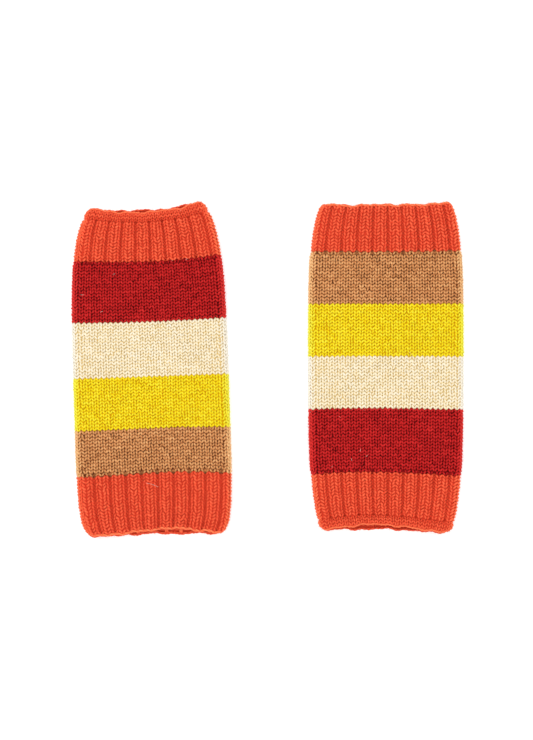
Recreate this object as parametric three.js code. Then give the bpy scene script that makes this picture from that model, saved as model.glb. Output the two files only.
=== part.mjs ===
/**
 * A pair of striped fingerless gloves: two plain knitted tubes, open at both ends, laid flat side
 * by side with one of them turned end for end.
 *
 * Each tube is knitted in six bands of yarn. It starts with a narrow bumpy edge, goes on in a
 * ribbed orange cuff, red, cream, yellow and camel bands and a second ribbed cuff, and a seam
 * closes it inside one of its two folds. Each band is its own closed body: a flattened ring with
 * the real wall thickness and an open middle.
 *
 * Units are millimetres and +Z is up. The gloves rest on Z = 0, X runs across the pair and Y along
 * the tubes, and the origin is under the middle of the pair's bounding box.
 */

import * as THREE from 'three';
import { mergeVertices } from 'three/addons/utils/BufferGeometryUtils.js';

// ---- driving dimensions ----

const COURSE = 1.9; // height of one row of stitches
const WIDTH = 90; // flat width of a tube, from fold to fold
const HEIGHT = 11.2; // height of the two layers of fabric as they lie, with air between them
const WALL = 3; // thickness of the fabric
const GAP = 0.3; // clearance between neighbouring bodies
const SPACING = 135.8; // distance between the two gloves' middles
const LEAN = THREE.MathUtils.degToRad(1.8); // how far the left glove lies out of square

const SLIP_REACH = 40; // how far into the tube the slip of its layers can be seen
const CORNER_REACH = 6; // how far into the tube the rounded corners of a mouth reach
const SEAM_RADIUS = 0.9; // the seam's ridge inside the fold
const SEAM_CLEARANCE = 0.6; // between the ridge and the fabric
const SEAM_INSET = 9; // the ridge stops this far inside each mouth

const FOLD_STEPS = 6; // faces round each fold
const FLAT_STEPS = 8; // faces across each flat layer
const BAND_STEPS = 3; // faces along a plain band
const CUFF_STEPS = 6; // faces along a cuff, which narrows quickly
const EDGE_STEPS = 2; // faces along the narrow starting edge
const SEAM_STEPS = 28; // faces along the seam
const SEAM_SIDES = 6;

// ---- yarns ----

const YARN_ROUGHNESS = 0.95;
const YARNS = {
  orange: '#e24b30',
  red: '#a81e1d',
  cream: '#f0dfb8',
  yellow: '#e9ce19',
  camel: '#bc7b4b',
};

// ---- the two gloves ----

// The bands in knitting order, from the cast-on mouth to the bind-off mouth.
const BANDS = [
  { name: 'cast_on_edge', yarn: 'orange', steps: EDGE_STEPS },
  { name: 'cuff_by_red', yarn: 'orange', steps: CUFF_STEPS },
  { name: 'red_band', yarn: 'red', steps: BAND_STEPS },
  { name: 'cream_band', yarn: 'cream', steps: BAND_STEPS },
  { name: 'yellow_band', yarn: 'yellow', steps: BAND_STEPS },
  { name: 'camel_band', yarn: 'camel', steps: BAND_STEPS },
  { name: 'cuff_by_camel', yarn: 'orange', steps: CUFF_STEPS },
];

// middle: where the glove's own middle lies. courses: rows of stitches in each band. seamSide: the
// fold with the seam, along the glove's own X.
// At each mouth, pull is the share of its width that the tube loses and reach how fast it gets it
// back, slipOver and slipUnder say how far the upper and lower layers lie back in the middle, and
// bias how much less of that is on the +X side. skew is how far the fold on the +X side lies back,
// and the other forward, and corner is how round they are.
const GLOVES = [
  {
    name: 'left',
    middle: [-SPACING / 2, -COURSE / 2],
    turn: Math.PI + LEAN,
    seamSide: 1,
    courses: [3, 13, 19, 17, 16, 14, 18],
    castOn: {
      pull: 0.24, reach: 19, slipOver: 5.4, slipUnder: 3, bias: 0.2, skew: 1.4, corner: 2.2,
    },
    bindOff: {
      pull: 0.105, reach: 9, slipOver: 4.5, slipUnder: 0.3, bias: 0.7, skew: 0.6, corner: 2.2,
    },
  },
  {
    name: 'right',
    middle: [SPACING / 2, 0],
    turn: 0,
    seamSide: -1,
    courses: [3, 14, 20, 16, 16, 16, 14],
    castOn: {
      pull: 0.15, reach: 20, slipOver: 5, slipUnder: 0.9, bias: 0.4, skew: -0.6, corner: 1.8,
    },
    bindOff: {
      pull: 0.14, reach: 16, slipOver: 1.2, slipUnder: 0.5, bias: 0, skew: -0.5, corner: 1.8,
    },
  },
];

/** Length of a glove, mouth to mouth. */
function lengthOf(glove) {
  return COURSE * glove.courses.reduce((sum, rows) => sum + rows, 0);
}

/** Half the flat width of a glove at a distance along it from the cast-on mouth. */
function halfWidthAt(glove, along) {
  const { castOn, bindOff } = glove;
  const atCastOn = castOn.pull * Math.exp(-along / castOn.reach);
  const atBindOff = bindOff.pull * Math.exp((along - lengthOf(glove)) / bindOff.reach);
  return (WIDTH / 2) * (1 - atCastOn - atBindOff);
}

/**
 * How far the fabric lies back from one mouth. across is -1 to 1 from fold to fold, fold is 0 on
 * the flat layers and 1 at a fold's outermost line, and over is 0 underneath and 1 on top.
 */
function lieBack(mouth, distance, { across, fold, over }) {
  const slip = THREE.MathUtils.lerp(mouth.slipUnder, mouth.slipOver, over);
  const slant = (1 - across ** 2) * (1 - mouth.bias * across) * slip + across * mouth.skew;
  const rounding = mouth.corner * fold ** 2 * Math.exp(-distance / CORNER_REACH);
  return slant * Math.exp(-distance / SLIP_REACH) + rounding;
}

/** Where fabric at a distance along a straight tube ends up, with both mouths lying back. */
function settledAlong(glove, along, place) {
  const fromCastOn = lieBack(glove.castOn, along, place);
  const fromBindOff = lieBack(glove.bindOff, lengthOf(glove) - along, place);
  return along + fromCastOn - fromBindOff;
}

/**
 * The outline of a flattened tube, inset from its outer surface: two straight layers joined by
 * half-round folds. Points are (across, up).
 */
function flattenedOutline(inset) {
  const middle = HEIGHT / 2;
  const radius = middle - inset;
  const flat = WIDTH / 2 - middle;
  const points = [];
  for (const side of [1, -1]) {
    for (let i = 0; i <= FOLD_STEPS; i++) {
      const angle = (i / FOLD_STEPS - 0.5) * Math.PI;
      const across = flat + radius * Math.cos(angle);
      points.push(new THREE.Vector2(side * across, middle + side * radius * Math.sin(angle)));
    }
    for (let i = 1; i < FLAT_STEPS; i++) {
      const across = flat * (1 - (2 * i) / FLAT_STEPS);
      points.push(new THREE.Vector2(side * across, middle + side * radius));
    }
  }
  return points;
}

/** Moves a straight ring's points to where the fabric really lies: drawn in, and slipped back. */
function settle(geometry, glove) {
  const position = geometry.attributes.position;
  const flat = (WIDTH - HEIGHT) / 2;
  for (let i = 0; i < position.count; i++) {
    const across = position.getX(i);
    const along = position.getY(i);
    const up = position.getZ(i);
    const half = halfWidthAt(glove, along);
    const onFlat = THREE.MathUtils.clamp(across, -flat, flat);
    const x = (onFlat * (half - HEIGHT / 2)) / flat + across - onFlat;
    const place = {
      across: x / half,
      fold: THREE.MathUtils.clamp((Math.abs(across) - flat) / (HEIGHT / 2), 0, 1),
      over: THREE.MathUtils.clamp(up / HEIGHT, 0, 1),
    };
    position.setXYZ(i, x, settledAlong(glove, along, place), up);
  }
}

/** One closed body whose faces share their corners. */
function closed(geometry) {
  geometry.deleteAttribute('normal');
  geometry.deleteAttribute('uv');
  const merged = mergeVertices(geometry, 1e-4);
  merged.computeVertexNormals();
  return merged;
}

/** A band of the tube between two distances along it, as a flattened ring. */
function bandGeometry(glove, start, end, steps) {
  const section = new THREE.Shape(flattenedOutline(0));
  section.holes.push(new THREE.Path(flattenedOutline(WALL)));
  const depth = end - start;
  const geometry = new THREE.ExtrudeGeometry(section, { depth, steps, bevelEnabled: false });
  geometry.rotateX(Math.PI / 2);
  geometry.translate(0, end, 0);
  settle(geometry, glove);
  return closed(geometry);
}

/** The ridge of the side seam, lying inside one fold and following its fabric. */
function seamGeometry(glove) {
  const length = lengthOf(glove);
  const route = [];
  for (let i = 0; i <= SEAM_STEPS; i++) {
    const along = THREE.MathUtils.lerp(SEAM_INSET, length - SEAM_INSET, i / SEAM_STEPS);
    const half = halfWidthAt(glove, along);
    const x = glove.seamSide * (half - WALL - SEAM_CLEARANCE - SEAM_RADIUS);
    const place = { across: x / half, fold: 1, over: 0.5 };
    route.push(new THREE.Vector3(x, settledAlong(glove, along, place), HEIGHT / 2));
  }
  const section = new THREE.Shape().absarc(0, 0, SEAM_RADIUS, 0, 2 * Math.PI);
  const geometry = new THREE.ExtrudeGeometry(section, {
    extrudePath: new THREE.CatmullRomCurve3(route),
    steps: SEAM_STEPS,
    curveSegments: SEAM_SIDES,
  });
  return closed(geometry);
}

/** A named mesh with a yarn's material. */
function yarnMesh(name, geometry, yarn) {
  const material = new THREE.MeshStandardMaterial({
    color: YARNS[yarn],
    roughness: YARN_ROUGHNESS,
    metalness: 0,
  });
  const mesh = new THREE.Mesh(geometry, material);
  mesh.name = name;
  return mesh;
}

/** One glove: its bands end to end, and its seam, round the glove's own middle. */
function makeGlove(glove) {
  const tube = new THREE.Group();
  tube.position.y = -lengthOf(glove) / 2;
  let start = 0;
  BANDS.forEach((band, i) => {
    const end = start + COURSE * glove.courses[i];
    const geometry = bandGeometry(glove, start + GAP / 2, end - GAP / 2, band.steps);
    geometry.translate(0, -start, 0);
    const mesh = yarnMesh(`${glove.name}_${band.name}`, geometry, band.yarn);
    mesh.position.y = start;
    tube.add(mesh);
    start = end;
  });
  tube.add(yarnMesh(`${glove.name}_side_seam`, seamGeometry(glove), 'orange'));

  const laid = new THREE.Group();
  laid.add(tube);
  laid.rotation.z = glove.turn;
  laid.position.set(...glove.middle, 0);
  return laid;
}

const pair = new THREE.Group();
for (const glove of GLOVES) {
  pair.add(makeGlove(glove));
}

// Put the origin under the middle of the pair's box.
const box = new THREE.Box3().setFromObject(pair, true);
const middle = box.getCenter(new THREE.Vector3());
pair.position.set(-middle.x, -middle.y, -box.min.z);

export default pair;
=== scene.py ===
"""The looks of a pair of striped, knitted fingerless gloves, lying flat on a pale floor.

Every row of stitches is a real loop of yarn. A row is worked out in fabric coordinates, which are a
column of stitches round the tube, a distance along it and a distance out of the cloth, and it is
then laid round the flattened tube. Lengths are in millimetres until a mesh is made.
"""

import math
from dataclasses import dataclass

import bpy
import numpy as np
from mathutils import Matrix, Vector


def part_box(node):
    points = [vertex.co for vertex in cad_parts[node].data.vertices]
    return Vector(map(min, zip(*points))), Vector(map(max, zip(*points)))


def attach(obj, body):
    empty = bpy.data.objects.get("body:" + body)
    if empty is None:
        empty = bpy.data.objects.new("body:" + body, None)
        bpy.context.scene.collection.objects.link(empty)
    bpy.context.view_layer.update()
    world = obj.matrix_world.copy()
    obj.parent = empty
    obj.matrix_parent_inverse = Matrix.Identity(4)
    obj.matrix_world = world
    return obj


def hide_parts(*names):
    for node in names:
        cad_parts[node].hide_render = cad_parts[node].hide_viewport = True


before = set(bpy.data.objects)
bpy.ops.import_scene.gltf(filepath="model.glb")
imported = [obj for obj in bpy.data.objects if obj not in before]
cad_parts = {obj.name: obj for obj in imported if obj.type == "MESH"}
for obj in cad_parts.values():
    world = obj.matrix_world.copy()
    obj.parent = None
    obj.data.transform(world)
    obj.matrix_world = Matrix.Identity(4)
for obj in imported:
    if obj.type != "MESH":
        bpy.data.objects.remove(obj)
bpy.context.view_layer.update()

MM = 0.001

# ---- the cloth, as in the CAD ----

COURSE = 1.9  # height of one row of stitches
WIDTH = 90  # flat width of a tube, fold to fold
HEIGHT = 11.2  # height of the two layers as they lie
WALL = 3  # thickness of the cloth
SLIP_REACH = 40  # how far into the tube the slip of its layers can be seen
CORNER_REACH = 6  # how far into the tube a mouth's rounded corners reach

# ---- the upper layer, which the CAD leaves flat ----

CROWN = 0.5  # how much higher it lies in the middle
LIFT_REACH = 12  # how far into the tube the lift of its lip reaches
WAVES = ((0.35, 95), (0.3, 58), (0.2, 34))  # height and length of each of its slow waves

# ---- stitches ----

WALES = 60  # columns of stitches round a tube
YARN_RADIUS = 0.63
YARN_SIDES = 6  # faces round a yarn
YARN_LUMP = 0.08  # unevenness of its surface, as a share of its radius
YARN_WOBBLE = 0.05  # of the points along it
PRESSED_HEIGHT = 0.9  # of its middle where it rests on the floor, as a share of its radius
PATTERN_SHIFT = 50  # loops by which one yarn's fibres may be shifted against another's
LOOP_LEAN = 0.25  # how far a loop's legs lean, in columns
LOOP_RISE = 0.78  # half a loop's height, in rows
LOOP_DEPTH = 1.2  # how far a loop's legs stand out of the cloth, and its head lies back
LOOP_STEPS = 13  # points along one loop of yarn

# How much the stitches differ from each other.
LEAN_UNEVENNESS = 0.15  # as a share of the lean
COLUMN_UNEVENNESS = 0.04  # of their places round the tube, in columns
ROW_UNEVENNESS = 0.02  # of their places along it, in rows, and out of the cloth
DEPTH_UNEVENNESS = 0.03  # as a share of the depth
THICKNESS_UNEVENNESS = 0.07  # as a share of the yarn's radius
STITCH_SHADE = 0.03  # of their shade, as millimetres of height

EDGE_YARN = 0.5  # radius of the yarn of the cast-on edge's stitches

RIB_PERIOD = 3  # two knit columns, then a purl one
RIB_DEPTH = 2.3  # how far a purl column lies back
RIB_SQUEEZE = 0.6  # how much narrower a purl column shows
RIB_SHARPNESS = 1.9  # how narrow the valleys between the ribs are
RIB_FADE = 3  # the ribs flatten out over this distance past a cuff
RIB_START = 1  # they are at full depth this far past the cast-on edge
RIB_PAINTED_SHADE = 0.28  # share of their depth that darkens the wool: painted shade in the rib valleys and the groove
FOLD_PAINTED_HIGHLIGHT = 1  # how much paler the wool round a fold is, as millimetres of height: a painted highlight

GROOVE_DEPTH = 1  # of the line between the cast-on edge and the ribs
GROOVE_PLACE = 5.2  # from the cast-on mouth
GROOVE_WIDTH = 1

RIPPLE = 0.22  # waviness of the lips along a mouth
RIPPLES = (4, 7, 12, 19)  # waves round the tube
RIPPLE_REACH = 5  # how far into the tube it reaches

FLOOR_CLEARANCE = 0.03  # between the flattened yarn and the floor

# ---- the two twisted strands along a mouth ----

CAST_ON_STRAND = 0.4  # their radius
CAST_ON_SPREAD = 0.25  # how far they lie from their middle
BIND_OFF_STRAND = 0.5
BIND_OFF_SPREAD = 0.36
ROPE_PITCH = 2  # columns in one turn
ROPE_STEPS = 8  # points a column
ROPE_RIBBING = 0.5  # share of the ribs' depth that they follow
LIP_OUT = 0.45  # how far they stand past the mouth's last row
LIP_PAINTED_HIGHLIGHT = 2  # they get a painted highlight, as pale as wool this far out of the cloth

# ---- loose fibres ----

FUZZ_PER_STITCH = 7
FUZZ_RADIUS = 0.045
FUZZ_TIP = 0.4  # radius of a fibre's tip, as a share of that
FUZZ_POINTS = 4  # points along a fibre
FUZZ_SIDES = 3
FUZZ_LENGTH = 1.1  # on average
FUZZ_LIKENESS = 4  # how alike the lengths are
FUZZ_ROLL = 1.4  # radians round the yarn, from its outer side, within which they are rooted
FUZZ_ROOT = 0.8  # distance of the root from the yarn's middle, as a share of its radius
FUZZ_RISE = (0.2, 1)  # how strongly a fibre heads away from its yarn
FUZZ_STRAY = 0.8  # how far its heading strays from that
FUZZ_BEND = 0.6  # how far it bends, as a share of its length
FUZZ_DROOP = 0.5  # how much of the bend is back towards the yarn

LINT_COUNT = 5  # pale specks of fibre on each red band
LINT_COLUMNS = (3, 26)  # they lie between these columns of the upper layer
LINT_LENGTHS = (0.8, 2)
LINT_BEND = 0.3  # radians from end to end, at most, either way
LINT_RADIUS = 0.05
LINT_TAPER = 3  # the higher, the finer their ends
LINT_POINTS = 8  # points along a speck
LINT_SIDES = 4
LINT_HEIGHT = 1.9  # out of the middle of the cloth

# ---- the seam's ridge, two twisted strands ----

SEAM_STRAND = 0.48  # their radius
SEAM_PITCH = 4.2  # length of one turn
SEAM_STEPS = 560  # points along a strand
SEAM_RIDGE = 0.9  # radius of the ridge, as in the CAD
SEAM_CLEARANCE = 0.6  # between the ridge and the cloth, as in the CAD
SEAM_INSET = 9  # the ridge stops this far inside each mouth, as in the CAD

# ---- the mat of fibres in the middle of the cloth ----

CORE_HALF = 0.25  # half its thickness
CORE_STEPS = 3  # points a stitch, each way
CORE_LUMP = 0.05  # unevenness of its height
CORE_PAINTED_SHADE_HEIGHT = 0.5  # it is painted with the pits' shade, like wool this far out of the cloth

# ---- seeds, which keep the pieces' random numbers apart ----

SEEDS_PER_GLOVE = 100  # a band adds the number of rows before it
RIPPLE_SEED = 50
MOUTH_SEED = 50
LINT_SEED = 70
SEAM_SEED = 99


@dataclass
class Mouth:
    """How the tube lies at one end."""

    pull: float  # share of its width that it loses
    reach: float  # how far in it is before it gets most of that back
    slip_over: float  # how far its upper layer lies back in the middle
    slip_under: float  # how far its lower layer does
    bias: float  # how much less of that is on the +X side, and more on the other
    lift: float  # how high its upper lip stands off
    skew: float  # how far the fold on the +X side lies back, and the other forward
    corner: float  # how round its corners are

    def lie(self, across, distance, over, middle, fold):
        """How far cloth lies back at a distance from the mouth. across runs from -1 to 1, over from
        0 underneath to 1 on top, middle from 0 at the folds to 1 halfway between them, and fold
        from 0 on the flat layers to 1 at a fold's outermost line."""
        slip = self.slip_under + (self.slip_over - self.slip_under) * over
        slip = slip * middle * (1 - self.bias * across)
        back = (slip + self.skew * across) * np.exp(-distance / SLIP_REACH)
        return back + self.corner * fold * np.exp(-distance / CORNER_REACH)


@dataclass
class Glove:
    """One glove, as it lies."""

    name: str
    turn: float  # radians, from the glove's own frame to the row frame
    seam_side: int  # the fold with the seam, along the glove's own X
    rows: dict  # rows of stitches in each band, from the cast-on mouth
    cast_on: Mouth
    bind_off: Mouth
    hairs: list  # its long stray hairs: column, distance along the tube, heading and length
    turned: float  # columns that the stitches are turned round the tube, from the first fold
    seed: int

    @property
    def body(self):
        return f"{self.name}_glove"

    @property
    def length(self):
        return COURSE * sum(self.rows.values())

    def start(self, band):
        """Rows of stitches before a band."""
        names = list(self.rows)
        return sum(self.rows[name] for name in names[: names.index(band)])

    def half_width(self, along):
        at_cast_on = self.cast_on.pull * np.exp(-along / self.cast_on.reach)
        at_bind_off = self.bind_off.pull * np.exp((along - self.length) / self.bind_off.reach)
        return WIDTH / 2 * (1 - at_cast_on - at_bind_off)

    def middle(self):
        """Where the glove's own middle is in the row frame, from the CAD cream band."""
        low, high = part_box(f"{self.name}_cream_band")
        first = self.start("cream_band")
        offset = COURSE * (first + self.rows["cream_band"] / 2) - self.length / 2
        x = (low.x + high.x) / 2 / MM + offset * math.sin(self.turn)
        y = (low.y + high.y) / 2 / MM - offset * math.cos(self.turn)
        return x, y


GLOVES = [
    Glove(
        name="left",
        turn=math.pi + math.radians(1.8),
        seam_side=1,
        rows=dict(
            cast_on_edge=3, cuff_by_red=13, red_band=19, cream_band=17,
            yellow_band=16, camel_band=14, cuff_by_camel=18,
        ),
        cast_on=Mouth(
            pull=0.24, reach=19, slip_over=5.4, slip_under=3, bias=0.2,
            lift=0.6, skew=1.4, corner=2.2,
        ),
        bind_off=Mouth(
            pull=0.105, reach=9, slip_over=4.5, slip_under=0.3, bias=0.7,
            lift=1.2, skew=0.6, corner=2.2,
        ),
        hairs=[(13.5, 163, 2.74, 7.5)],
        turned=1.77,
        seed=3,
    ),
    Glove(
        name="right",
        turn=0,
        seam_side=-1,
        rows=dict(
            cast_on_edge=3, cuff_by_red=14, red_band=20, cream_band=16,
            yellow_band=16, camel_band=16, cuff_by_camel=14,
        ),
        cast_on=Mouth(
            pull=0.15, reach=20, slip_over=5, slip_under=0.9, bias=0.4,
            lift=1.2, skew=-0.6, corner=1.8,
        ),
        bind_off=Mouth(
            pull=0.14, reach=16, slip_over=1.2, slip_under=0.5, bias=0,
            lift=0.6, skew=-0.5, corner=1.8,
        ),
        hairs=[],
        turned=-0.2,
        seed=8,
    ),
]

YARN_OF = {
    "cast_on_edge": "orange", "cuff_by_red": "orange", "red_band": "red", "cream_band": "cream",
    "yellow_band": "yellow", "camel_band": "camel", "cuff_by_camel": "orange",
}
RIBBED = ("cuff_by_red", "cuff_by_camel")


# ---- laying cloth round the flattened tube ----

def waves(glove, across, along):
    """The slow unevenness of the upper layer, in millimetres."""
    rng = np.random.default_rng(glove.seed)
    height = np.zeros(np.broadcast(across, along).shape)
    for amplitude, wavelength in WAVES:
        direction, phase = rng.uniform(0, 2 * math.pi, 2)
        place = across * math.cos(direction) + along * math.sin(direction)
        height = height + amplitude * np.sin(2 * math.pi * place / wavelength + phase)
    return height


def ripple(glove, wale):
    """How far the lip of a mouth lies back at a column, in millimetres."""
    rng = np.random.default_rng(glove.seed + RIPPLE_SEED)
    back = np.zeros(np.shape(wale))
    for count in RIPPLES:
        phase = rng.uniform(0, 2 * math.pi)
        back = back + RIPPLE * np.sin(2 * math.pi * count * wale / WALES + phase)
    return back


def lay(glove, wale, along, out):
    """Points of the row frame, in millimetres, and the cloth's outward directions there, for
    fabric coordinates. The columns start near the fold on the glove's own -X side, and the first
    half of them is the upper layer."""
    fold = (HEIGHT - WALL) / 2
    half = glove.half_width(along)
    flat = half - HEIGHT / 2
    girth = 4 * flat + 2 * math.pi * fold
    walk = ((wale + glove.turned) / WALES % 1 - 0.25) * girth
    under = walk > girth / 4
    walk = np.where(under, walk - girth / 2, walk)
    angle = np.clip(np.abs(walk) - flat, 0, None) / fold
    side = np.where(under, -1, 1)
    normal_x = side * np.sign(walk) * np.sin(angle)
    normal_z = side * np.cos(angle)
    x = side * np.clip(walk, -flat, flat) + (fold + out) * normal_x
    z = HEIGHT / 2 + (fold + out) * normal_z

    over = np.clip(z / HEIGHT, 0, 1)
    middle = np.clip(1 - (x / half) ** 2, 0, 1)
    to_end = glove.length - along
    round_fold = np.clip((np.abs(x) - flat) / (half - flat), 0, 1) ** 2
    y = along + glove.cast_on.lie(x / half, along, over, middle, round_fold)
    y = y - glove.bind_off.lie(x / half, to_end, over, middle, round_fold)
    near_mouth = np.exp(-along / RIPPLE_REACH) + np.exp(-to_end / RIPPLE_REACH)
    y = y + near_mouth * ripple(glove, wale)
    lift = glove.cast_on.lift * np.exp(-along / LIFT_REACH)
    lift = lift + glove.bind_off.lift * np.exp(-to_end / LIFT_REACH)
    z = z + over ** 2 * (CROWN * middle + np.sqrt(middle) * lift + waves(glove, x, along))

    centre_x, centre_y = glove.middle()
    y = y - glove.length / 2
    cosine, sine = math.cos(glove.turn), math.sin(glove.turn)
    row_x = centre_x + x * cosine - y * sine
    row_y = centre_y + x * sine + y * cosine
    points = np.stack([row_x, row_y, z], -1)
    normals = np.stack([normal_x * cosine, normal_x * sine, normal_z + 0 * x], -1)
    return points, normals


def unit(vectors):
    """Vectors of length 1 in the same directions."""
    return vectors / np.linalg.norm(vectors, axis=-1, keepdims=True)


def eased(share):
    """A share from 0 to 1 that leaves both ends gently."""
    return share * share * (3 - 2 * share)


@dataclass
class Yarns:
    """Lengths of yarn with the same number of points. The first two axes of every array are the
    yarns and the points along them."""

    points: np.ndarray  # in the row frame
    outward: np.ndarray  # the cloth's outward direction there
    radius: np.ndarray
    height: np.ndarray  # distance out of the middle of the cloth, which sets the wool's painted light and shade


def yarn_mesh(name, yarns, rng, sides=YARN_SIDES, closed=True):
    """A mesh of round, slightly lumpy yarns, either closed into rings or capped at their ends. They
    are pressed flat where they rest on the floor."""
    points = yarns.points
    if closed:
        tangents = unit(np.roll(points, -1, 1) - np.roll(points, 1, 1))
    else:
        tangents = unit(np.gradient(points, axis=1))
    aside = unit(np.cross(tangents, yarns.outward))
    up = np.cross(aside, tangents)
    count, steps = points.shape[:2]
    turn = np.arange(sides) * 2 * math.pi / sides
    ring = np.cos(turn)[:, None] * aside[..., None, :] + np.sin(turn)[:, None] * up[..., None, :]
    radius = yarns.radius[..., None] * (1 + rng.normal(0, YARN_LUMP, (count, steps, sides)))
    corners = points[..., None, :] + radius[..., None] * ring
    corners[..., 2] = np.maximum(corners[..., 2], FLOOR_CLEARANCE)

    index = np.arange(count * steps * sides).reshape(count, steps, sides)
    here, ahead = index, np.roll(index, -1, 1)
    if not closed:
        here, ahead = here[:, :-1], ahead[:, :-1]
    quads = np.stack([here, np.roll(here, -1, 2), np.roll(ahead, -1, 2), ahead], -1)
    caps = [] if closed else [index[:, 0, ::-1], index[:, -1]]

    offset = rng.uniform(0, PATTERN_SHIFT, (count, 1, 1))
    step, side = np.meshgrid(np.arange(here.shape[1]), np.arange(sides), indexing="ij")
    u = np.stack([step, step, step + 1, step + 1], -1) / LOOP_STEPS
    v = np.stack([side, side + 1, side + 1, side], -1) / sides
    u = (u.reshape(1, -1, 4) + offset).reshape(-1)
    v = np.broadcast_to(v.reshape(1, -1, 4), (count, v.size // 4, 4)).reshape(-1)
    piece = mesh_object(name, corners.reshape(-1, 3), [quads.reshape(-1, 4), *caps])
    store_wrap(piece, u, v)
    # The outer side of each yarn and both faces of the cloth get painted light, the middle of the
    # cloth painted shade.
    store_height(piece, np.abs(yarns.height[..., None] + yarns.radius[..., None] * np.sin(turn)))
    return piece


def store_wrap(piece, u, v):
    """Keeps where each face's corner is along and round its yarn, or round and along the mat. The
    caps, which come last, have none."""
    wrap = np.zeros((len(piece.data.loops), 2), np.float32)
    wrap[: len(u)] = np.stack([u, v], -1)
    piece.data.uv_layers.new(name="wrap").data.foreach_set("uv", wrap.ravel())


def store_height(piece, heights):
    """Keeps each point's distance from the middle of the cloth, for the wool's painted light and
    shade.
    """
    attribute = piece.data.attributes.new("height", "FLOAT", "POINT")
    attribute.data.foreach_set("value", heights.astype(np.float32).ravel())


def mesh_object(name, points, faces):
    """A smooth-shaded object from points in millimetres and arrays of faces with equal sides."""
    corners = np.concatenate([part.reshape(-1) for part in faces]).astype(np.int32)
    totals = np.concatenate([np.full(len(part), part.shape[-1]) for part in faces])
    mesh = bpy.data.meshes.new(name)
    mesh.vertices.add(len(points))
    mesh.vertices.foreach_set("co", (points * MM).astype(np.float32).ravel())
    mesh.loops.add(len(corners))
    mesh.loops.foreach_set("vertex_index", corners)
    mesh.polygons.add(len(totals))
    mesh.polygons.foreach_set("loop_start", (np.cumsum(totals) - totals).astype(np.int32))
    mesh.polygons.foreach_set("loop_total", totals.astype(np.int32))
    mesh.polygons.foreach_set("use_smooth", np.ones(len(totals), bool))
    mesh.update(calc_edges=True)
    piece = bpy.data.objects.new(name, mesh)
    bpy.context.scene.collection.objects.link(piece)
    return piece


# ---- stitches ----

def ribbing(glove, along):
    """How strongly the cloth is ribbed at a distance along it, from 0 to 1."""
    cuff_end = COURSE * glove.start("red_band")
    cuff_start = COURSE * glove.start("cuff_by_camel")
    edge_end = COURSE * glove.rows["cast_on_edge"]
    before = np.clip((along - cuff_end) / RIB_FADE, 0, 1)
    after = np.clip((cuff_start - along) / RIB_FADE, 0, 1)
    body = np.minimum(before, after)
    edge = np.clip((edge_end + RIB_START - along) / RIB_FADE, 0, 1)
    return 1 - eased(np.maximum(body, edge))


def rib(glove, wale, along):
    """Where ribbing puts a fabric point: its column, squeezed towards the purl columns, and how
    far it lies back."""
    strength = ribbing(glove, along)
    turn = 2 * math.pi * (wale - 0.5) / RIB_PERIOD
    moved = wale - strength * RIB_SQUEEZE * np.sin(turn) * RIB_PERIOD / (2 * math.pi)
    back = RIB_DEPTH * strength * (0.5 + 0.5 * np.cos(turn)) ** RIB_SHARPNESS
    back = back + GROOVE_DEPTH * np.exp(-(((along - GROOVE_PLACE) / GROOVE_WIDTH) ** 2))
    return moved, back


def stitch_signs(glove, band):
    """1 for a knit stitch and -1 for a purl one, by row and column."""
    signs = np.ones((glove.rows[band], WALES))
    if band in RIBBED:
        signs[:, ::RIB_PERIOD] = -1
    return signs


def between(values, wale):
    """Values held at column middles, eased into the next column's round the line between them."""
    place = wale - 0.5
    column = np.floor(place).astype(int)
    share = np.clip(2 * (place - column) - 0.5, 0, 1)
    here, there = values[..., column % WALES], values[..., (column + 1) % WALES]
    return here + (there - here) * eased(share)


def loops(glove, band, rng):
    """A band's rows of loops."""
    first, count = glove.start(band), glove.rows[band]
    wale = np.arange(WALES * LOOP_STEPS) / LOOP_STEPS
    wale = np.tile(wale, (count, 1))
    row = (first + np.arange(count) + 0.5)[:, None]

    def uneven(amount):
        """A random amount for every stitch."""
        return between(rng.normal(0, amount, (count, WALES)), wale[0])

    turn = 2 * math.pi * (wale % 1 - 0.5)
    sign = between(stitch_signs(glove, band), wale[0])
    column = wale + LOOP_LEAN * (1 + uneven(LEAN_UNEVENNESS)) * np.sin(2 * turn)
    column = column + uneven(COLUMN_UNEVENNESS)
    along = COURSE * (row + LOOP_RISE * np.cos(turn) + uneven(ROW_UNEVENNESS))
    out = -sign * LOOP_DEPTH * np.cos(2 * turn) * (1 + uneven(DEPTH_UNEVENNESS))
    out = out + uneven(ROW_UNEVENNESS)
    column, back = rib(glove, column, along)
    points, outward = lay(glove, column, along, out - back)
    points = points + rng.normal(0, YARN_WOBBLE, points.shape)
    resting = PRESSED_HEIGHT * YARN_RADIUS + FLOOR_CLEARANCE
    points[..., 2] = np.maximum(points[..., 2], resting)
    # Painted light and shade: paler where the yarn stands out, painted shade in the rib valleys and
    # the groove, a painted highlight round the folds, and a random tone for each stitch.
    shade = out - RIB_PAINTED_SHADE * back + FOLD_PAINTED_HIGHLIGHT * (1 - outward[..., 2] ** 2)
    shade = shade + uneven(STITCH_SHADE)
    radius = EDGE_YARN if band == "cast_on_edge" else YARN_RADIUS
    return Yarns(points, outward, radius * (1 + uneven(THICKNESS_UNEVENNESS)), shade)


def rope(glove, along, radius, spread):
    """Two strands twisted round each other along a mouth."""
    wale = np.arange(WALES * ROPE_STEPS) / ROPE_STEPS
    wale = np.tile(wale, (2, 1))
    turn = 2 * math.pi * wale / ROPE_PITCH + np.array([[0], [math.pi]])
    column, back = rib(glove, wale, np.full(wale.shape, along))
    out = spread * np.sin(turn)
    place = along + spread * np.cos(turn)
    points, outward = lay(glove, column, place, out - ROPE_RIBBING * back)
    return Yarns(points, outward, np.full(wale.shape, radius), out + LIP_PAINTED_HIGHLIGHT)


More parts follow.
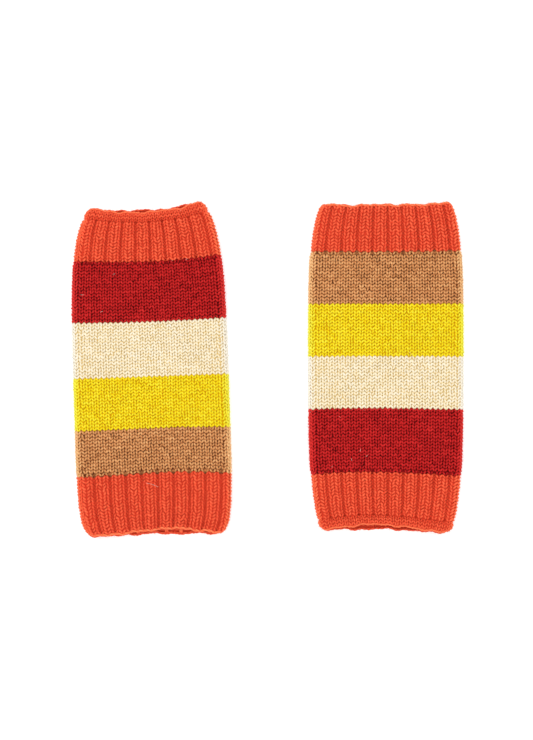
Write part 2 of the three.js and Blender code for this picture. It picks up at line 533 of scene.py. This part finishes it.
def fuzz(yarns, count, rng):
    """Fine loose fibres standing off some yarns, each rooted in one of them. Their heights are all
    0, because their colour is the same all over."""
    shape = yarns.radius.shape
    yarn, step = rng.integers(0, shape[0], count), rng.integers(0, shape[1], count)
    base, outward = yarns.points[yarn, step], yarns.outward[yarn, step]
    along = unit(yarns.points[yarn, (step + 1) % shape[1]] - base)
    aside = unit(np.cross(along, outward))
    roll = rng.uniform(-FUZZ_ROLL, FUZZ_ROLL, (count, 1))
    away = np.cos(roll) * np.cross(aside, along) + np.sin(roll) * aside
    rise = rng.uniform(*FUZZ_RISE, (count, 1))
    heading = unit(rise * away + rng.normal(0, FUZZ_STRAY, (count, 3)))
    bend = unit(rng.normal(0, 1, (count, 3)) - FUZZ_DROOP * away)
    root = base + yarns.radius[yarn, step, None] * FUZZ_ROOT * away
    length = rng.gamma(FUZZ_LIKENESS, FUZZ_LENGTH / FUZZ_LIKENESS, (count, 1))
    share = np.linspace(0, 1, FUZZ_POINTS)[:, None, None]
    path = root + length * (share * heading + FUZZ_BEND * share**2 * bend)
    path[..., 2] = np.maximum(path[..., 2], 2 * FUZZ_RADIUS)
    points = path.transpose(1, 0, 2)
    taper = FUZZ_RADIUS * np.linspace(1, FUZZ_TIP, FUZZ_POINTS)
    none = np.zeros((count, FUZZ_POINTS))
    return Yarns(points, away[:, None] + none[..., None], taper + none, none)


def lint(glove, wale, along, heading, length, bend):
    """Stray fibres lying on the upper layer, from arrays of their middles, headings, lengths and
    bends."""
    share = np.linspace(-0.5, 0.5, LINT_POINTS)
    turn = heading[:, None] + bend[:, None] * share
    away = length[:, None] * share
    column = wale[:, None] + away * np.cos(turn) * WALES / (2 * WIDTH)
    place = along[:, None] + away * np.sin(turn)
    radius = LINT_RADIUS * (1 - LINT_TAPER * share**4) + 0 * column
    points, outward = lay(glove, column, place, LINT_HEIGHT + 0 * column)
    return Yarns(points, outward, radius, 0 * column)


def core(glove, band, rng):
    """The mat of fibres in the middle of a band's cloth, as a thin closed tube coloured with the
    pits' painted shade. The first cuff's goes on through the cast-on edge."""
    first = 0 if band == "cuff_by_red" else glove.start(band)
    count = glove.start(band) + glove.rows[band] - first
    around = np.arange(WALES * CORE_STEPS) / CORE_STEPS
    rows = COURSE * np.linspace(first, first + count, count * CORE_STEPS + 1)
    wale, along = np.meshgrid(around, rows)
    column, back = rib(glove, wale, along)
    out = rng.normal(0, CORE_LUMP, wale.shape) - back
    outer, _ = lay(glove, column, along, out + CORE_HALF)
    inner, _ = lay(glove, column, along, out - CORE_HALF)
    points = np.concatenate([outer.reshape(-1, 3), inner.reshape(-1, 3)])
    grid = np.arange(wale.size).reshape(wale.shape)
    over, beneath = grid, grid + wale.size

    def strip(edge, other):
        """Faces between two rings of points."""
        corners = [edge, np.roll(edge, -1, -1), np.roll(other, -1, -1), other]
        return np.stack(corners, -1).reshape(-1, 4)

    quads = np.concatenate([
        strip(over[:-1], over[1:]),
        strip(beneath[1:], beneath[:-1]),
        strip(beneath[0], over[0]),
        strip(over[-1], beneath[-1]),
    ])
    piece = mesh_object(f"{glove.name}_{band}_core", points, [quads])
    row, step = np.divmod(np.arange(len(quads)), len(around))
    u = np.stack([step, step + 1, step + 1, step], -1) / CORE_STEPS
    v = np.stack([row, row, row + 1, row + 1], -1) / CORE_STEPS
    store_wrap(piece, u.ravel(), v.ravel())
    store_height(piece, np.full(len(points), CORE_PAINTED_SHADE_HEIGHT))
    return piece


# ---- materials ----

ROUGHNESS = 0.95
SPECULAR = 0.1
SHEEN = 0.8
SHEEN_ROUGHNESS = 0.5
FIBRE_TWIST = 1.4  # turns of the fibres round the yarn, per loop
FIBRE_BREAKS = 3  # how often their pattern changes along it
FIBRE_FINENESS = 4
FIBRE_DETAIL = 4
FIBRE_ROUGHNESS = 0.65
FIBRE_CONTRAST = 2.2  # the fibres' unevenness in colour, as millimetres of height
FIBRE_BUMP = 0.25  # height of the fibres on the yarn's surface
BUMP_STRENGTH = 0.8
COLOUR_HEIGHTS = (3.4, 2.0, 1.45, 0.9)  # out of the middle of the cloth, of each yarn's colours, from painted highlight down to painted shade


def wool_shader(name, sheen):
    """A matt material whose fuzz has a colour of its own, and the material's shader."""
    material = bpy.data.materials.new(name)
    material.use_nodes = True
    shader = material.node_tree.nodes["Principled BSDF"]
    shader.inputs["Roughness"].default_value = ROUGHNESS
    shader.inputs["Specular IOR Level"].default_value = SPECULAR
    shader.inputs["Sheen Weight"].default_value = SHEEN
    shader.inputs["Sheen Roughness"].default_value = SHEEN_ROUGHNESS
    shader.inputs["Sheen Tint"].default_value = (*sheen, 1)
    return material, shader


def maths(tree, operation, *values):
    """The result of a Math node. Each value is a number or another node's output."""
    node = tree.nodes.new("ShaderNodeMath")
    node.operation = operation
    for value, socket in zip(values, node.inputs):
        if isinstance(value, (int, float)):
            socket.default_value = value
        else:
            tree.links.new(value, socket)
    return node.outputs[0]


def spun_fibres(tree):
    """A noise drawn out along the yarn and wound round it, from 0 to 1."""
    nodes, links = tree.nodes, tree.links
    wrap = nodes.new("ShaderNodeUVMap")
    wrap.uv_map = "wrap"
    split = nodes.new("ShaderNodeSeparateXYZ")
    links.new(wrap.outputs["UV"], split.inputs[0])
    along, around = split.outputs["X"], split.outputs["Y"]
    wound = maths(tree, "ADD", around, maths(tree, "MULTIPLY", along, FIBRE_TWIST))
    angle = maths(tree, "MULTIPLY", wound, 2 * math.pi)
    spread = nodes.new("ShaderNodeCombineXYZ")
    links.new(maths(tree, "MULTIPLY", along, FIBRE_BREAKS), spread.inputs["X"])
    links.new(maths(tree, "COSINE", angle), spread.inputs["Y"])
    links.new(maths(tree, "SINE", angle), spread.inputs["Z"])
    noise = nodes.new("ShaderNodeTexNoise")
    noise.inputs["Scale"].default_value = FIBRE_FINENESS
    noise.inputs["Detail"].default_value = FIBRE_DETAIL
    noise.inputs["Roughness"].default_value = FIBRE_ROUGHNESS
    links.new(spread.outputs[0], noise.inputs["Vector"])
    return noise.outputs["Fac"]


def wool(name, *colours):
    """Matt, slightly fuzzy wool with painted light and shade: a painted highlight where it stands
    out of the cloth, and painted shade, darkest and deepest in colour, in the pits between
    stitches."""
    material, shader = wool_shader(name, colours[1])
    tree = material.node_tree
    fibres = spun_fibres(tree)
    height = tree.nodes.new("ShaderNodeAttribute")
    height.attribute_name = "height"
    unevenness = maths(tree, "MULTIPLY", fibres, FIBRE_CONTRAST)
    level = maths(tree, "ADD", height.outputs["Fac"], unevenness)
    share = tree.nodes.new("ShaderNodeMapRange")
    highest, *_, lowest = COLOUR_HEIGHTS
    share.inputs["From Min"].default_value = lowest + FIBRE_CONTRAST / 2
    share.inputs["From Max"].default_value = highest + FIBRE_CONTRAST / 2
    tree.links.new(level, share.inputs["Value"])
    ramp = tree.nodes.new("ShaderNodeValToRGB")
    ramp.color_ramp.elements[0].color = (*colours[-1], 1)
    ramp.color_ramp.elements[1].color = (*colours[0], 1)
    for colour, place in zip(colours[1:-1], COLOUR_HEIGHTS[1:-1]):
        share_there = (place - lowest) / (highest - lowest)
        ramp.color_ramp.elements.new(share_there).color = (*colour, 1)
    tree.links.new(share.outputs["Result"], ramp.inputs["Fac"])
    tree.links.new(ramp.outputs["Color"], shader.inputs["Base Color"])

    bump = tree.nodes.new("ShaderNodeBump")
    bump.inputs["Strength"].default_value = BUMP_STRENGTH
    bump.inputs["Distance"].default_value = FIBRE_BUMP * MM
    tree.links.new(fibres, bump.inputs["Height"])
    tree.links.new(bump.outputs["Normal"], shader.inputs["Normal"])
    return material


def loose_wool(name, colour):
    """The single fibres of the fuzz."""
    material, shader = wool_shader(name, colour)
    shader.inputs["Base Color"].default_value = (*colour, 1)
    return material


def linear(red, green, blue):
    """A colour given as 0 to 255 on a screen, as linear light."""
    parts = np.array([red, green, blue]) / 255
    return tuple(np.where(parts <= 0.04045, parts / 12.92, ((parts + 0.055) / 1.055) ** 2.4))


# Each yarn's colours: a painted highlight at a fold or lip, painted light on top of a stitch, its
# own colour on its body and painted shade in the pits.
YARN_COLOURS = {
    "orange": ((255, 152, 98), (252, 112, 74), (240, 88, 57), (218, 66, 42)),
    "red": ((226, 76, 66), (214, 48, 46), (180, 25, 27), (80, 2, 5)),
    "cream": ((249, 245, 236), (243, 236, 220), (243, 228, 194), (238, 211, 140)),
    "yellow": ((246, 240, 110), (240, 232, 66), (238, 213, 4), (230, 177, 0)),
    "camel": ((244, 206, 156), (236, 184, 126), (204, 132, 78), (105, 46, 16)),
}
WOOL = {
    yarn: wool(f"{yarn}_wool", *[linear(*colour) for colour in colours])
    for yarn, colours in YARN_COLOURS.items()
}
# The fuzz takes each yarn's colour on top of a stitch, which holds painted light.
FUZZ = {
    yarn: loose_wool(f"{yarn}_fuzz", linear(*colours[1]))
    for yarn, colours in YARN_COLOURS.items()
}


# ---- camera, lights, floor, in metres ----

CAMERA_PLACE = (-0.0006, -0.0003, 1.192)
CAMERA_LENS = 100  # millimetres, as is the sensor
CAMERA_SENSOR = 36
CAMERA_NEAREST = 0.01
KEY_PLACE = (-0.1, 0.15, 1.5)
KEY_SIZE = 1.4
KEY_POWER = 15.7  # watts
BACKDROP_LIGHT = 0.75
FLOOR_SIZE = 2.4
FLOOR_GREY = 0.93
FLOOR_GLOW = 0.25  # it lifts the shadows


def make_camera():
    """A camera looking straight down."""
    data = bpy.data.cameras.new("camera")
    data.lens = CAMERA_LENS
    data.sensor_width = CAMERA_SENSOR
    data.clip_start = CAMERA_NEAREST
    camera = bpy.data.objects.new("camera", data)
    camera.location = CAMERA_PLACE
    bpy.context.scene.collection.objects.link(camera)
    bpy.context.scene.camera = camera


def make_key_light():
    """A large soft light, aimed at the origin."""
    data = bpy.data.lights.new("key", "AREA")
    data.size = KEY_SIZE
    data.energy = KEY_POWER
    light = bpy.data.objects.new("key", data)
    light.location = KEY_PLACE
    light.rotation_euler = (-light.location).to_track_quat("-Z", "Y").to_euler()
    bpy.context.scene.collection.objects.link(light)


def make_backdrop():
    """Even light from all round."""
    world = bpy.data.worlds.new("studio")
    world.use_nodes = True
    backdrop = world.node_tree.nodes["Background"]
    backdrop.inputs["Color"].default_value = (1, 1, 1, 1)
    backdrop.inputs["Strength"].default_value = BACKDROP_LIGHT
    bpy.context.scene.world = world
    bpy.context.scene.view_settings.view_transform = "Standard"


def make_floor():
    """A plain pale floor."""
    half = FLOOR_SIZE / 2 / MM
    corners = np.array([[-half, -half, 0], [half, -half, 0], [half, half, 0], [-half, half, 0]])
    floor = mesh_object("floor", corners, [np.array([[0, 1, 2, 3]])])
    paper = bpy.data.materials.new("paper")
    paper.use_nodes = True
    shader = paper.node_tree.nodes["Principled BSDF"]
    shader.inputs["Base Color"].default_value = (FLOOR_GREY, FLOOR_GREY, FLOOR_GREY, 1)
    shader.inputs["Roughness"].default_value = 1
    shader.inputs["Emission Color"].default_value = (1, 1, 1, 1)
    shader.inputs["Emission Strength"].default_value = FLOOR_GLOW
    floor.data.materials.append(paper)


make_camera()
make_backdrop()
make_key_light()
make_floor()


# ---- the gloves ----

def dress(piece, glove, material):
    """Gives a piece its material and the glove that carries it."""
    piece.data.materials.append(material)
    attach(piece, glove.body)


def random_numbers(glove, seed):
    """The random numbers of one piece of a glove."""
    return np.random.default_rng(glove.seed * SEEDS_PER_GLOVE + seed)


def make_fuzz(name, glove, yarns, yarn, rng):
    """The loose fibres of some yarns."""
    stitches = yarns.radius.size / LOOP_STEPS
    fibres = fuzz(yarns, int(FUZZ_PER_STITCH * stitches), rng)
    piece = yarn_mesh(name, fibres, rng, sides=FUZZ_SIDES, closed=False)
    dress(piece, glove, FUZZ[yarn])


def make_band(glove, band):
    """A band's stitches, its loose fibres and the mat in the middle of its cloth."""
    rng = random_numbers(glove, glove.start(band))
    name, yarn = f"{glove.name}_{band}", YARN_OF[band]
    yarns = loops(glove, band, rng)
    stitches = yarn_mesh(f"{name}_stitches", yarns, rng)
    dress(stitches, glove, WOOL[yarn])
    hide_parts(name)
    if band != "cast_on_edge":
        dress(core(glove, band, rng), glove, WOOL[yarn])
    make_fuzz(f"{name}_fuzz", glove, yarns, yarn, rng)


def make_mouth(glove, name, along, radius, spread):
    """The two strands along a mouth, with their loose fibres."""
    rng = random_numbers(glove, MOUTH_SEED + int(along))
    yarns = rope(glove, along, radius, spread)
    dress(yarn_mesh(f"{glove.name}_{name}", yarns, rng), glove, WOOL["orange"])
    make_fuzz(f"{glove.name}_{name}_fuzz", glove, yarns, "orange", rng)


def make_seam(glove):
    """The seam's ridge: two strands twisted together inside the fold."""
    rng = random_numbers(glove, SEAM_SEED)
    along = np.linspace(SEAM_INSET, glove.length - SEAM_INSET, SEAM_STEPS)
    along = np.tile(along, (2, 1))
    turn = 2 * math.pi * along / SEAM_PITCH + np.array([[0], [math.pi]])
    spread = SEAM_RIDGE - SEAM_STRAND
    fold_column = (WALES / 2 if glove.seam_side > 0 else 0) - glove.turned
    out = -(WALL / 2 + SEAM_CLEARANCE + SEAM_RIDGE) + spread * np.cos(turn)
    points, outward = lay(glove, np.full(along.shape, fold_column), along, out)
    points[..., 2] += spread * np.sin(turn)
    # A height of 0 colours the ridge mostly with the pits' painted shade.
    yarns = Yarns(points, outward, np.full(along.shape, SEAM_STRAND), 0 * along)
    seam = yarn_mesh(f"{glove.name}_side_seam_yarn", yarns, rng, closed=False)
    dress(seam, glove, WOOL["orange"])
    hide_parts(f"{glove.name}_side_seam")


def make_lint(glove):
    """Pale specks on the red band, and the long stray hairs."""
    rng = random_numbers(glove, LINT_SEED)
    band = (COURSE * glove.start("red_band"), COURSE * glove.start("cream_band"))
    lowest, highest = zip(LINT_COLUMNS, band, (0, math.pi), LINT_LENGTHS)
    specks = rng.uniform(lowest, highest, (LINT_COUNT, 4))
    wale, along, heading, length = np.concatenate([specks, np.reshape(glove.hairs, (-1, 4))]).T
    bend = rng.uniform(-LINT_BEND, LINT_BEND, len(wale))
    fibres = lint(glove, wale, along, heading, length, bend)
    piece = yarn_mesh(f"{glove.name}_lint", fibres, rng, sides=LINT_SIDES, closed=False)
    dress(piece, glove, FUZZ["cream"])


for glove in GLOVES:
    for band in glove.rows:
        make_band(glove, band)
    make_mouth(glove, "cast_on_rope", -LIP_OUT, CAST_ON_STRAND, CAST_ON_SPREAD)
    make_mouth(glove, "bind_off_rope", glove.length + LIP_OUT, BIND_OFF_STRAND, BIND_OFF_SPREAD)
    make_seam(glove)
    make_lint(glove)
